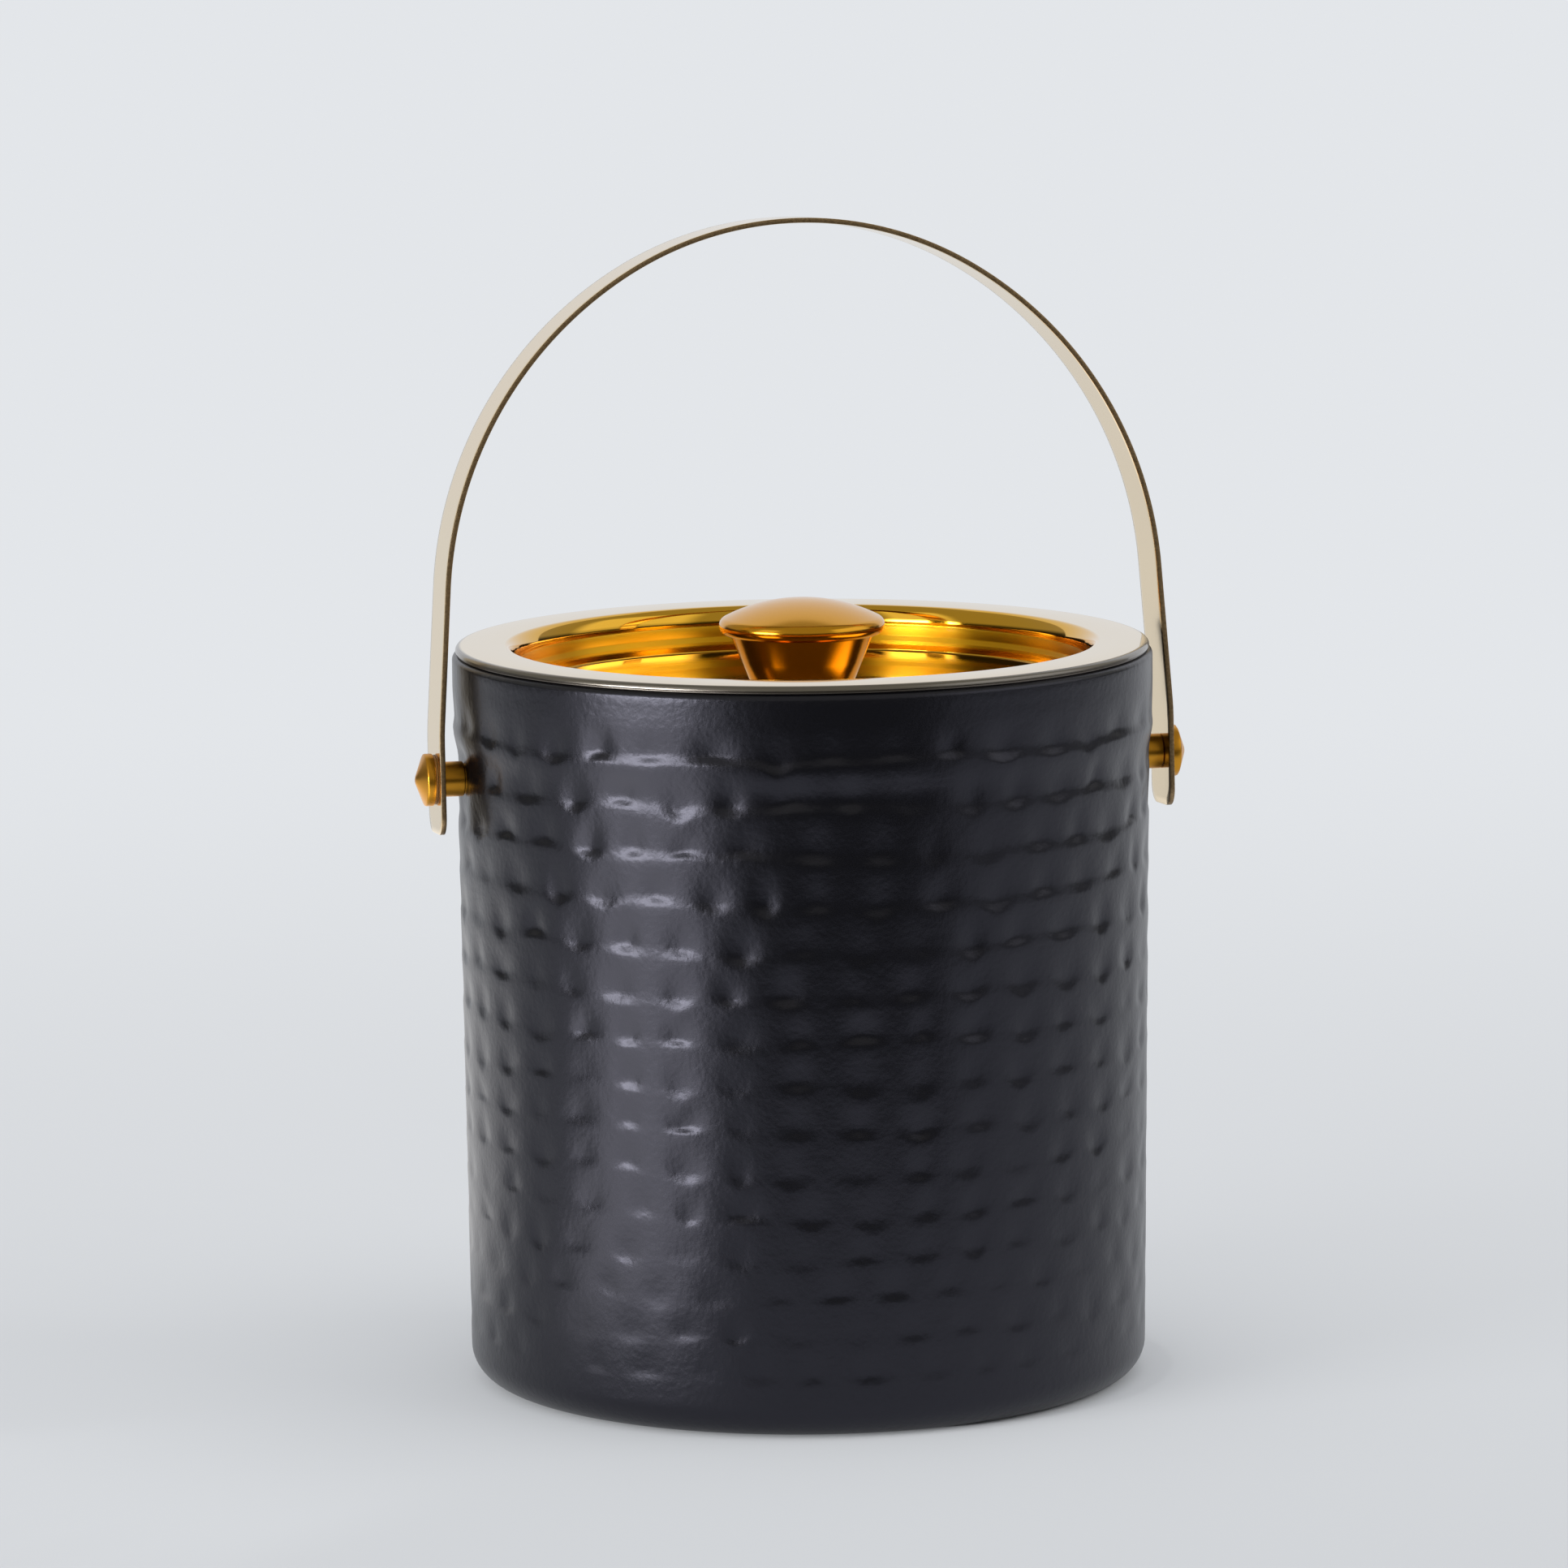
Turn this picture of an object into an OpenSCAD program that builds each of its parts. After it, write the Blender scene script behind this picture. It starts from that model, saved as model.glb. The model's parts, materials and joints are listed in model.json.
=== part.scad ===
// Double-walled ice bucket: hammered shell, hung liner, dished lid with a knob, and a strap bail.
// Millimetres, +Z up. The origin is the centre of the base, on the surface the bucket stands on.
// The bail's pivot axis runs along X.

/* [Shell] */
// Outer radius of the smooth band under the rim
body_r = 75; // [70:0.5:85]
// Height of the turned-in lip above the base
shell_h = 157; // [145:0.1:180]
// Thickness of the shell's sheet
shell_t = 0.9; // [0.7:0.05:1.2]
// Height of the smooth band above the hammered rows
band_h = 15.6; // [9:0.1:18]
// How far the hammered wall steps in under the band
wall_step = 0.7; // [0.4:0.05:0.8]
// How far the hammered wall tapers in from there to its foot
wall_taper = 1.4; // [0:0.1:4]
// Outer radius of the bottom corner
corner_r = 7; // [5:0.5:14]
// Radius of the rounded shoulder at the lip
shoulder_r = 1.2; // [1:0.1:2.5]
// Width of the turned-in lip
lip_w = 6; // [4:0.5:9]
// Number of hammered rows up the wall
hammer_rows = 14; // [6:1:16]
// Height of the topmost hammered row
top_row_h = 10.3; // [8:0.1:11]
// Height of the lowest hammered row
low_row_h = 8.3; // [7:0.1:10]
// Depth of a hammered row
hammer_depth = 0.3; // [0.1:0.05:0.45]
// Width of the ring that the bucket stands on
foot_ring_w = 7.9; // [4:0.1:20]
// Height of the raised centre of the base
base_recess_h = 2; // [1:0.25:4]

/* [Liner] */
// From the shell's outer face to the liner's inner face
wall_space = 11.8; // [10:0.1:20]
// Thickness of the liner's sheet
liner_t = 0.7; // [0.5:0.05:1]
// How far the rim flange stays inside the shell's outer face
flange_inset = 1; // [0.8:0.1:4]
// Radius of the rounded mouth, on its upper face
liner_mouth_r = 3; // [2:0.25:5]
// Radius between the liner's wall and floor, on its inner face
liner_fillet_r = 14; // [6:1:25]
// Gap between the floors of shell and liner, filled by the pad
floor_gap = 7.5; // [4:0.5:12]
// How far the insulation pad stays inside the flat of the liner's floor
pad_inset = 3.9; // [1:0.1:20]

/* [Lid] */
// Thickness of the lid's sheet
lid_t = 0.8; // [0.6:0.05:1]
// How far the lid's flange overhangs the liner's
lid_overhang = 0.3; // [0:0.05:0.8]
// Radius of the lid's rolled edge
lid_edge_r = 1.1; // [1.05:0.05:1.5]
// Radial play of the dish in the liner's mouth
lid_play = 0.9; // [0.5:0.1:2]
// Radius of the rounding from flange to dish, on its upper face
lid_bend_r = 2.2; // [1.5:0.1:5]
// Depth of the dish below the flange
dish_depth = 9.9; // [8:0.1:14]
// Depth of the forming ridge below the flange
ridge_depth = 7.3; // [5.5:0.1:7.6]
// How far the dish wall steps in at the forming ridge
ridge_step = 0.35; // [0.1:0.05:0.6]
// Radius between the dish's wall and floor, on its upper face
dish_fillet_r = 1; // [0.5:0.1:1.5]

/* [Knob] */
// Radius of the knob's cone where it stands on the lid
knob_foot_r = 10.7; // [9:0.1:13]
// Radius of the knob's cone under the cap
knob_neck_r = 15.4; // [13:0.1:16]
// Height of the knob's cone
knob_cone_h = 11.5; // [8:0.1:16]
// Widest radius of the cap
cap_r = 17.8; // [17:0.1:20]
// Radius of the cap's lower rim
cap_rim_r = 16; // [15.6:0.1:16.6]
// Height of the cap's skirt
cap_skirt_h = 2.1; // [1.5:0.1:3]
// Height of the dome above the skirt
cap_dome_h = 5.6; // [4:0.1:8]
// Radius of the spigot that locates the cap in the cone
spigot_r = 6; // [4:0.1:8]
// Length of that spigot
spigot_l = 4; // [3:0.5:7]
// Radial clearance of the spigot in its socket
spigot_gap = 0.05; // [0.02:0.01:0.1]

/* [Bail] */
// From the shell's band to the middle of the strap's thickness at the pivots
bail_stand_off = 4.7; // [4:0.1:12]
// Width of the strap
strap_w = 16; // [12:0.5:18]
// Thickness of the strap
strap_t = 1.1; // [0.8:0.1:1.6]
// Radius of the corners at the strap's ends
strap_corner_r = 4; // [1:0.5:6]
// Reach of the strap's ends below the pivots
strap_end_l = 11.5; // [10:0.1:16]
// Height of the upright ends above the pivots
upright_h = 8; // [7.5:0.5:12]
// Splay of the legs from upright, in degrees
leg_splay = 3.9; // [2:0.25:6]
// Radius of the bend between an upright end and its leg
foot_bend_r = 60; // [30:5:100]
// Height above the pivots at which the legs start to curve
leg_h = 40.8; // [25:1:50]
// How much larger the radius of the arch's flanks is than half its span at the pivots
flank_bulge = 3.4; // [0:0.1:6]
// Angle above the pivots at which the flanks meet the crown, in degrees
crown_angle = 59.5; // [50:1:68]
// Lean of the bail from upright, in degrees
bail_lean = 3.4; // [-10:0.5:10]

/* [Pivots] */
// From the shell's lip down to the pivot axis
pivot_drop = 25.1; // [16:0.1:50]
// Radius of a post
post_r = 3.75; // [3:0.05:5]
// Depth of the flat that is pressed into the shell for a post
post_seat = 0.1; // [0.05:0.05:0.15]
// Chamfer at the foot of a post
post_chamfer = 0.4; // [0.2:0.05:0.8]
// Axial clearance on each side of the strap
strap_gap = 0.05; // [0.03:0.01:0.1]
// Radius of a cap screw's shoulder
shoulder_screw_r = 2.25; // [2.1:0.05:2.6]
// Radial clearance of the strap's holes on the shoulders
pivot_gap = 0.05; // [0.02:0.01:0.1]
// Radius of a cap screw's head
head_r = 5.6; // [4.5:0.1:7]
// Thickness of that head's cylindrical rim
head_rim_h = 1.8; // [1.2:0.1:3]
// Height of that head's cone
head_cone_h = 2; // [1:0.1:3]
// Radius of the blunt tip of that cone
head_tip_r = 0.8; // [0.4:0.1:1.5]
// Bevel at the back of that head
head_bevel = 0.35; // [0.1:0.05:0.5]
// Radius of a friction washer
friction_washer_r = 5.3; // [4.2:0.1:6]
// Thickness of a friction washer
friction_washer_t = 0.4; // [0.3:0.05:0.6]
// Radius of a wall washer
wall_washer_r = 4.5; // [4:0.1:6]
// Thickness of a wall washer
wall_washer_t = 1; // [0.5:0.1:1.5]

/* [Screws] */
// Radius of the screws' threaded shanks
shank_r = 1.9; // [1.5:0.05:2]
// Radial clearance of a shank in its tapped hole
thread_gap = 0.05; // [0.02:0.01:0.1]
// Radial clearance of a shank in a plain hole
hole_gap = 0.2; // [0.1:0.05:0.4]
// Gap between the ends of the two screws that meet in a post
screw_end_gap = 0.4; // [0.2:0.1:1]
// Radius of a pan head
pan_head_r = 3.5; // [3:0.1:4.5]
// Height of a pan head
pan_head_h = 2.2; // [1.5:0.1:3]
// Width of a pan head's slot
slot_w = 0.9; // [0.6:0.1:1.2]
// Outer radius of a lock washer
lock_washer_r = 3.3; // [3:0.1:4]
// Thickness of a lock washer
lock_washer_t = 0.9; // [0.6:0.1:1.2]
// Radius of the washer under the lid
knob_washer_r = 6; // [5:0.25:8]
// Thickness of the washer under the lid
knob_washer_t = 1; // [0.6:0.1:1.5]
// Radius of the silicone seal under the lid
knob_seal_r = 7; // [5:0.25:9]
// Thickness of the silicone seal under the lid
knob_seal_t = 1.2; // [0.8:0.1:2]
// Length of the knob screw's thread inside the cap
knob_thread_l = 5; // [3:0.5:6]
// Depth of the cap's tapped hole beyond the end of the screw
tap_run_out = 0.5; // [0.3:0.1:1]

/* [Hidden] */
$fn = 96;
// Cutters reach this far past what they cut
over = 1;
// The strap's bends run this far into their neighbours
lap = 0.3;

// Radii that follow from the shell's
wall_top_r = body_r - wall_step;
wall_foot_r = wall_top_r - wall_taper;
lip_opening_r = body_r - lip_w;
base_recess_r = wall_foot_r - corner_r - foot_ring_w;
liner_r = body_r - wall_space;
liner_flange_r = body_r - flange_inset;
pad_r = liner_r - liner_fillet_r - pad_inset;
lid_r = liner_flange_r + lid_overhang;
bail_half_span = body_r + bail_stand_off;
flank_r = bail_half_span + flank_bulge;

// Heights up the shell
pivot_z = shell_h - pivot_drop;
band_z = shell_h - band_h;
row_shrink = (top_row_h - low_row_h) / (hammer_rows - 1);
band_blend_h = 6;
// Height of the ridge above a row, counted from 0 at the top; rows shrink evenly on the way down.
function ridge_z(row) = band_z - row * top_row_h + row * (row - 1) / 2 * row_shrink;
function wall_r(z) = wall_foot_r
    + (wall_top_r - wall_foot_r) * (z - corner_r) / (band_z - band_blend_h - corner_r);

// Heights of liner and lid, which stand on the shell's lip
rim_z = shell_h + liner_t;
liner_floor_z = base_recess_h + shell_t + floor_gap + liner_t;
lid_top_z = rim_z + lid_edge_r;
lid_wall_r = liner_r - lid_play - lid_t;
lid_mouth_r = lid_wall_r + lid_bend_r;
dish_floor_z = lid_top_z - dish_depth;
lid_under_z = dish_floor_z - lid_t;

// Stations along X at a pivot, from the axis of the bucket outwards
seat_x = wall_r(pivot_z) - hammer_depth - post_seat;
strap_in_x = bail_half_span - strap_t / 2;
post_out_x = strap_in_x - strap_gap;
washer_x = bail_half_span + strap_t / 2 + strap_gap;
head_x = washer_x + friction_washer_t;
shell_in_r = wall_r(pivot_z - wall_washer_r) - shell_t;
wall_washer_x = sqrt(pow(shell_in_r, 2) - pow(wall_washer_r, 2)) - wall_washer_t;
lock_washer_x = wall_washer_x - lock_washer_t;
// The two screws in a post share its length, and the tip of a cap screw's cone is nearly flat
post_thread_l = (post_out_x - seat_x - screw_end_gap) / 2;
head_tip_h = head_tip_r / 4;

// Centres of the arch's arcs, measured from the pivot axis
bend_top = [bail_half_span - foot_bend_r * (1 - cos(leg_splay)), upright_h + foot_bend_r * sin(leg_splay)];
leg_l = (leg_h - bend_top[1]) / cos(leg_splay);
leg_top = bend_top + leg_l * [-sin(leg_splay), cos(leg_splay)];
flank_c = leg_top - flank_r * [cos(leg_splay), sin(leg_splay)];
crown_r = flank_r + flank_c[0] / cos(crown_angle);
crown_c = [0, flank_c[1] + (flank_r - crown_r) * sin(crown_angle)];
bail_top = crown_c[1] + crown_r + strap_t;

black_lacquer = [0.11, 0.11, 0.12];
gold = [0.83, 0.64, 0.24];
satin_gold = [0.76, 0.55, 0.18];
champagne = [0.85, 0.78, 0.66];
dark_nylon = [0.08, 0.07, 0.06];
plain_steel = [0.72, 0.73, 0.74];
foam_white = [0.93, 0.93, 0.9];
silicone = [0.86, 0.86, 0.84];

// ---- Shared shapes ----

// Quarter of a bent sheet around a centre; sx and sz pick the quarter, r_in is the tighter face.
module quarter_bend(centre, r_in, t, sx, sz) {
    translate(centre)
        intersection() {
            difference() {
                circle(r_in + t);
                circle(r_in);
            }
            translate([min(sx, 0) * (r_in + t), min(sz, 0) * (r_in + t)])
                square(r_in + t);
        }
}

// Sheet bent along an arc: a ring sector between two angles, run a little way into its neighbours.
module ring_sector(centre, r, t, from_a, to_a) {
    lap_a = lap / r * 180 / PI;
    a0 = from_a - lap_a;
    a1 = to_a + lap_a;
    mid_a = (a0 + a1) / 2;
    // The wedge's corners lie far enough out for its sides to clear the ring
    far = 1.3 * (r + t);
    translate(centre)
        intersection() {
            difference() {
                circle(r + t / 2, $fn = 360);
                circle(r - t / 2, $fn = 360);
            }
            polygon([
                [0, 0],
                far * [cos(a0), sin(a0)],
                far * [cos(mid_a), sin(mid_a)],
                far * [cos(a1), sin(a1)]
            ]);
        }
}

// Round bar along X between two stations.
module bar_x(x0, x1, r) {
    translate([x0, 0, 0])
        rotate([0, 90, 0])
            cylinder(h = x1 - x0, r = r);
}

// Places a right-hand pivot piece on the pivot axis; side is 1 for right and -1 for left.
module at_pivot(side) {
    translate([0, 0, pivot_z])
        rotate([0, 0, side > 0 ? 0 : 180])
            children();
}

// ---- Bucket ----

// Filled outline of the shell from its axis outwards, inset by a sheet thickness for its inner face.
module shell_outline(inset) {
    foot_r = wall_foot_r - inset;
    bend_r = corner_r - inset;
    difference() {
        union() {
            polygon([
                [0, inset],
                [foot_r - bend_r, inset],
                [foot_r, corner_r],
                [wall_top_r - inset, band_z - band_blend_h],
                [body_r - inset, band_z],
                [body_r - inset, shell_h - shoulder_r],
                [body_r - shoulder_r, shell_h - inset],
                [0, shell_h - inset]
            ]);
            translate([foot_r - bend_r, corner_r])
                circle(bend_r);
            translate([body_r - shoulder_r, shell_h - shoulder_r])
                circle(shoulder_r - inset);
        }
        // The left halves of the corner circles stay inside the outline, so only the base needs raising.
        polygon([
            [-over, inset - over],
            [base_recess_r + over, inset - over],
            [base_recess_r, inset],
            [base_recess_r - base_recess_h, inset + base_recess_h],
            [-over, inset + base_recess_h]
        ]);
    }
}

// The hammered rows, as shallow hollows one above another with crisp ridges between them.
module hammer_hollows() {
    for (row = [0 : hammer_rows - 1]) {
        z = (ridge_z(row) + ridge_z(row + 1)) / 2;
        half_h = (ridge_z(row) - ridge_z(row + 1)) / 2;
        arc_r = (pow(half_h, 2) + pow(hammer_depth, 2)) / (2 * hammer_depth);
        translate([wall_r(z) - hammer_depth + arc_r, z])
            circle(arc_r, $fn = 180);
    }
}

module outer_shell() {
    color(black_lacquer)
        difference() {
            rotate_extrude($fn = 180)
                difference() {
                    shell_outline(0);
                    shell_outline(shell_t);
                    hammer_hollows();
                    translate([0, shell_h - 2 * shell_t])
                        square([lip_opening_r, 3 * shell_t]);
                }
            for (side = [-1, 1])
                at_pivot(side) {
                    bar_x(seat_x, body_r + over, post_r + pivot_gap);
                    bar_x(wall_washer_x, body_r + over, shank_r + hole_gap);
                }
        }
}

module inner_liner() {
    mouth_c = [liner_r + liner_mouth_r, rim_z - liner_mouth_r];
    fillet_c = [liner_r - liner_fillet_r, liner_floor_z + liner_fillet_r];
    color(gold)
        rotate_extrude($fn = 180) {
            translate([mouth_c[0], shell_h])
                square([liner_flange_r - mouth_c[0], liner_t]);
            quarter_bend(mouth_c, liner_mouth_r - liner_t, liner_t, -1, 1);
            translate([liner_r, fillet_c[1]])
                square([liner_t, mouth_c[1] - fillet_c[1]]);
            quarter_bend(fillet_c, liner_fillet_r, liner_t, 1, -1);
            translate([0, liner_floor_z - liner_t])
                square([fillet_c[0], liner_t]);
        }
}

module insulation_pad() {
    color(foam_white)
        translate([0, 0, base_recess_h + shell_t])
            cylinder(h = floor_gap, r = pad_r);
}

// ---- Lid ----

module lid_dish() {
    edge_c = [lid_r - lid_edge_r, lid_top_z - lid_edge_r];
    bend_c = [lid_mouth_r, lid_top_z - lid_bend_r];
    low_r = lid_wall_r - ridge_step;
    ridge_z = lid_top_z - ridge_depth;
    fillet_c = [low_r - dish_fillet_r, dish_floor_z + dish_fillet_r];
    color(gold)
        difference() {
            rotate_extrude($fn = 180) {
                quarter_bend(edge_c, lid_edge_r - lid_t, lid_t, 1, 1);
                translate([lid_mouth_r, lid_top_z - lid_t])
                    square([edge_c[0] - lid_mouth_r, lid_t]);
                quarter_bend(bend_c, lid_bend_r - lid_t, lid_t, -1, 1);
                polygon([
                    [lid_wall_r, bend_c[1]],
                    [lid_wall_r, ridge_z + ridge_step],
                    [low_r, ridge_z],
                    [low_r, fillet_c[1]],
                    [low_r + lid_t, fillet_c[1]],
                    [low_r + lid_t, ridge_z - ridge_step],
                    [lid_wall_r + lid_t, ridge_z],
                    [lid_wall_r + lid_t, bend_c[1]]
                ]);
                quarter_bend(fillet_c, dish_fillet_r, lid_t, 1, -1);
                translate([0, lid_under_z])
                    square([fillet_c[0], lid_t]);
            }
            translate([0, 0, lid_under_z - over])
                cylinder(h = lid_t + 2 * over, r = shank_r + hole_gap);
        }
}

module knob_body() {
    color(satin_gold)
        translate([0, 0, dish_floor_z])
            difference() {
                cylinder(h = knob_cone_h, r1 = knob_foot_r, r2 = knob_neck_r);
                translate([0, 0, knob_cone_h - spigot_l])
                    cylinder(h = spigot_l + over, r = spigot_r + spigot_gap);
                translate([0, 0, -over])
                    cylinder(h = knob_cone_h, r = shank_r + hole_gap);
            }
}

// Half section of the cap: a rim, a skirt that swells to the widest circle, and a low dome.
module cap_outline() {
    dome_r = (cap_r * cap_r + cap_dome_h * cap_dome_h) / (2 * cap_dome_h);
    swell_r = (pow(cap_r - cap_rim_r, 2) + pow(cap_skirt_h, 2)) / (2 * (cap_r - cap_rim_r));
    intersection() {
        translate([0, cap_skirt_h + cap_dome_h - dome_r])
            circle(dome_r, $fn = 360);
        translate([0, cap_skirt_h])
            square([cap_r, cap_dome_h + over]);
    }
    difference() {
        square([cap_r, cap_skirt_h]);
        difference() {
            translate([cap_rim_r, -over])
                square([cap_r, cap_skirt_h + over]);
            translate([cap_r - swell_r, cap_skirt_h])
                circle(swell_r);
        }
    }
}

module knob_cap() {
    color(gold)
        translate([0, 0, dish_floor_z + knob_cone_h])
            difference() {
                union() {
                    rotate_extrude($fn = 120)
                        cap_outline();
                    translate([0, 0, -spigot_l])
                        cylinder(h = spigot_l + cap_skirt_h, r = spigot_r);
                }
                translate([0, 0, -spigot_l - over])
                    cylinder(h = over + knob_thread_l + tap_run_out, r = shank_r + thread_gap);
            }
}

module knob_screw() {
    head_top = lid_under_z - knob_seal_t - knob_washer_t;
    tip = dish_floor_z + knob_cone_h - spigot_l + knob_thread_l;
    color(plain_steel)
        difference() {
            union() {
                translate([0, 0, head_top - pan_head_h])
                    cylinder(h = pan_head_h, r = pan_head_r);
                translate([0, 0, head_top - pan_head_h / 2])
                    cylinder(h = tip - head_top + pan_head_h / 2, r = shank_r);
            }
            translate([-pan_head_r - over, -slot_w / 2, head_top - pan_head_h - over])
                cube([2 * (pan_head_r + over), slot_w, over + pan_head_h / 2]);
        }
}

// Flat washer under the lid, from height z upwards.
module lid_washer(z, r, t) {
    translate([0, 0, z])
        difference() {
            cylinder(h = t, r = r);
            translate([0, 0, -over])
                cylinder(h = t + 2 * over, r = shank_r + hole_gap);
        }
}

module knob_washer() {
    color(plain_steel)
        lid_washer(lid_under_z - knob_seal_t - knob_washer_t, knob_washer_r, knob_washer_t);
}

module knob_seal() {
    color(silicone)
        lid_washer(lid_under_z - knob_seal_t, knob_seal_r, knob_seal_t);
}

// ---- Bail ----

// Right half of the strap's front view below the crown: upright end, foot bend, leg and flank.
module half_band() {
    translate([bail_half_span - strap_t / 2, -strap_end_l - over])
        square([strap_t, strap_end_l + over + upright_h]);
    ring_sector([bail_half_span - foot_bend_r, upright_h], foot_bend_r, strap_t, 0, leg_splay);
    translate(bend_top)
        rotate(leg_splay)
            translate([-strap_t / 2, 0])
                square([strap_t, leg_l]);
    ring_sector(flank_c, flank_r, strap_t, leg_splay, crown_angle);
}

// Side view of the strap: straight edges and a blunt lower end with rounded corners.
module strap_side() {
    corner_z = strap_corner_r - strap_end_l;
    flat_w = strap_w - 2 * strap_corner_r;
    for (side = [-1, 1])
        translate([side * flat_w / 2, corner_z])
            circle(strap_corner_r);
    translate([-flat_w / 2, -strap_end_l])
        square([flat_w, strap_corner_r + over]);
    translate([-strap_w / 2, corner_z])
        square([strap_w, bail_top + over - corner_z]);
}

// Front view of the whole strap.
module band() {
    half_band();
    mirror([1, 0])
        half_band();
    ring_sector(crown_c, crown_r, strap_t, crown_angle, 180 - crown_angle);
}

module bail_strap() {
    color(champagne)
        translate([0, 0, pivot_z])
            rotate([-bail_lean, 0, 0])
                difference() {
                    intersection() {
                        rotate([90, 0, 0])
                            translate([0, 0, -strap_w])
                                linear_extrude(2 * strap_w)
                                    band();
                        rotate([90, 0, 90])
                            translate([0, 0, -bail_half_span - strap_t])
                                linear_extrude(2 * (bail_half_span + strap_t))
                                    strap_side();
                    }
                    bar_x(-bail_half_span - strap_t, bail_half_span + strap_t, shoulder_screw_r + pivot_gap);
                }
}

// ---- Pivots: each piece is drawn for the right-hand side ----

module pivot_post(side) {
    color(satin_gold)
        at_pivot(side)
            difference() {
                union() {
                    bar_x(seat_x + post_chamfer, post_out_x, post_r);
                    translate([seat_x, 0, 0])
                        rotate([0, 90, 0])
                            cylinder(h = post_chamfer, r1 = post_r - post_chamfer, r2 = post_r);
                }
                bar_x(seat_x - over, post_out_x + over, shank_r + thread_gap);
            }
}

module cap_screw(side) {
    color(satin_gold)
        at_pivot(side) {
            bar_x(post_out_x - post_thread_l, post_out_x + over, shank_r);
            bar_x(post_out_x, head_x + over, shoulder_screw_r);
            translate([head_x, 0, 0])
                rotate([0, 90, 0])
                    rotate_extrude()
                        polygon([
                            [0, 0],
                            [head_r - head_bevel, 0],
                            [head_r, head_bevel],
                            [head_r, head_rim_h],
                            [head_tip_r, head_rim_h + head_cone_h - head_tip_h],
                            [0, head_rim_h + head_cone_h]
                        ]);
        }
}

// Washer on a pivot, from station x outwards.
module pivot_washer(side, x, r, t, hole_r) {
    at_pivot(side)
        difference() {
            bar_x(x, x + t, r);
            bar_x(x - over, x + t + over, hole_r);
        }
}

module friction_washer(side) {
    color(dark_nylon)
        pivot_washer(side, washer_x, friction_washer_r, friction_washer_t, shoulder_screw_r + pivot_gap);
}

module wall_washer(side) {
    color(plain_steel)
        pivot_washer(side, wall_washer_x, wall_washer_r, wall_washer_t, shank_r + hole_gap);
}

// Split washer: a ring with one narrow cut.
module lock_washer(side) {
    color(plain_steel)
        difference() {
            pivot_washer(side, lock_washer_x, lock_washer_r, lock_washer_t, shank_r + hole_gap);
            at_pivot(side)
                translate([lock_washer_x - over, -slot_w / 2, 0])
                    cube([lock_washer_t + 2 * over, slot_w, lock_washer_r + over]);
        }
}

module wall_screw(side) {
    color(plain_steel)
        at_pivot(side)
            difference() {
                union() {
                    bar_x(lock_washer_x - pan_head_h, lock_washer_x, pan_head_r);
                    bar_x(lock_washer_x - pan_head_h / 2, seat_x + post_thread_l, shank_r);
                }
                translate([lock_washer_x - pan_head_h - over, -slot_w / 2, -pan_head_r - over])
                    cube([over + pan_head_h / 2, slot_w, 2 * (pan_head_r + over)]);
            }
}

outer_shell();
inner_liner();
insulation_pad();
lid_dish();
knob_body();
knob_cap();
knob_screw();
knob_washer();
knob_seal();
bail_strap();
pivot_post(-1);  // left_pivot_post
pivot_post(1);  // right_pivot_post
cap_screw(-1);  // left_cap_screw
cap_screw(1);  // right_cap_screw
friction_washer(-1);  // left_friction_washer
friction_washer(1);  // right_friction_washer
wall_screw(-1);  // left_wall_screw
wall_screw(1);  // right_wall_screw
wall_washer(-1);  // left_wall_washer
wall_washer(1);  // right_wall_washer
lock_washer(-1);  // left_lock_washer
lock_washer(1);  // right_lock_washer
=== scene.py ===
"""A hammered black ice bucket with a gold liner, a dished gold lid and a strap bail."""

import json

import bpy
import numpy as np
from mathutils import Matrix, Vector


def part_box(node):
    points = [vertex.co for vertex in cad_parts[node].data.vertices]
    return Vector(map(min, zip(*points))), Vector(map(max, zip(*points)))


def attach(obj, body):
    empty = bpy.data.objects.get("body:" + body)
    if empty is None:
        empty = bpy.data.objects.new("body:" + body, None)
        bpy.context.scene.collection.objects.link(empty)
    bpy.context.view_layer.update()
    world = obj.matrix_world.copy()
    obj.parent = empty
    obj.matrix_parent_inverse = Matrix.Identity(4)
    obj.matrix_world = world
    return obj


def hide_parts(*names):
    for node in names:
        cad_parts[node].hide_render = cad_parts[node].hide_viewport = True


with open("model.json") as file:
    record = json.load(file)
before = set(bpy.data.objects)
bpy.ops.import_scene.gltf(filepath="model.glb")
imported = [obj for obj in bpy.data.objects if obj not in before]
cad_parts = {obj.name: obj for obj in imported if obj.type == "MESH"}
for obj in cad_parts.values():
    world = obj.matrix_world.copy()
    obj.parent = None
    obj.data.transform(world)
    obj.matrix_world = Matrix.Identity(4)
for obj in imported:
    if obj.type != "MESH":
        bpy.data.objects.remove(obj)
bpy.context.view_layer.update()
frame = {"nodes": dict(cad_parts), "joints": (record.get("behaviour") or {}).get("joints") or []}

# ---- Outer shell ----
# A cup spun from sheet steel and hammered in rows over a stake, its rim turned in to carry the
# liner. It is sprayed with black lacquer that flows over the marks and dries to a satin.


def box_mm(node_name):
    """Lowest and highest corner of a CAD node at rest, in millimetres."""
    return [1000 * np.array(corner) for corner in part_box(node_name)]


def arc(centre_r, centre_z, radius, first, last, steps):
    """Points centre + radius (cos a, sin a), with a going from first to last in degrees."""
    a = np.radians(np.linspace(first, last, steps + 1))
    return np.stack([centre_r + radius * np.cos(a), centre_z + radius * np.sin(a)], 1)


def turn(profile, segments):
    """Rings of points (r cos a, r sin a, z): each (r, z) of the profile goes round the Z axis."""
    a = np.linspace(0, 2 * np.pi, segments, endpoint=False)
    r, z = profile[:, :1], profile[:, 1:]
    return np.stack([r * np.cos(a), r * np.sin(a), z + 0 * a], -1)


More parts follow.
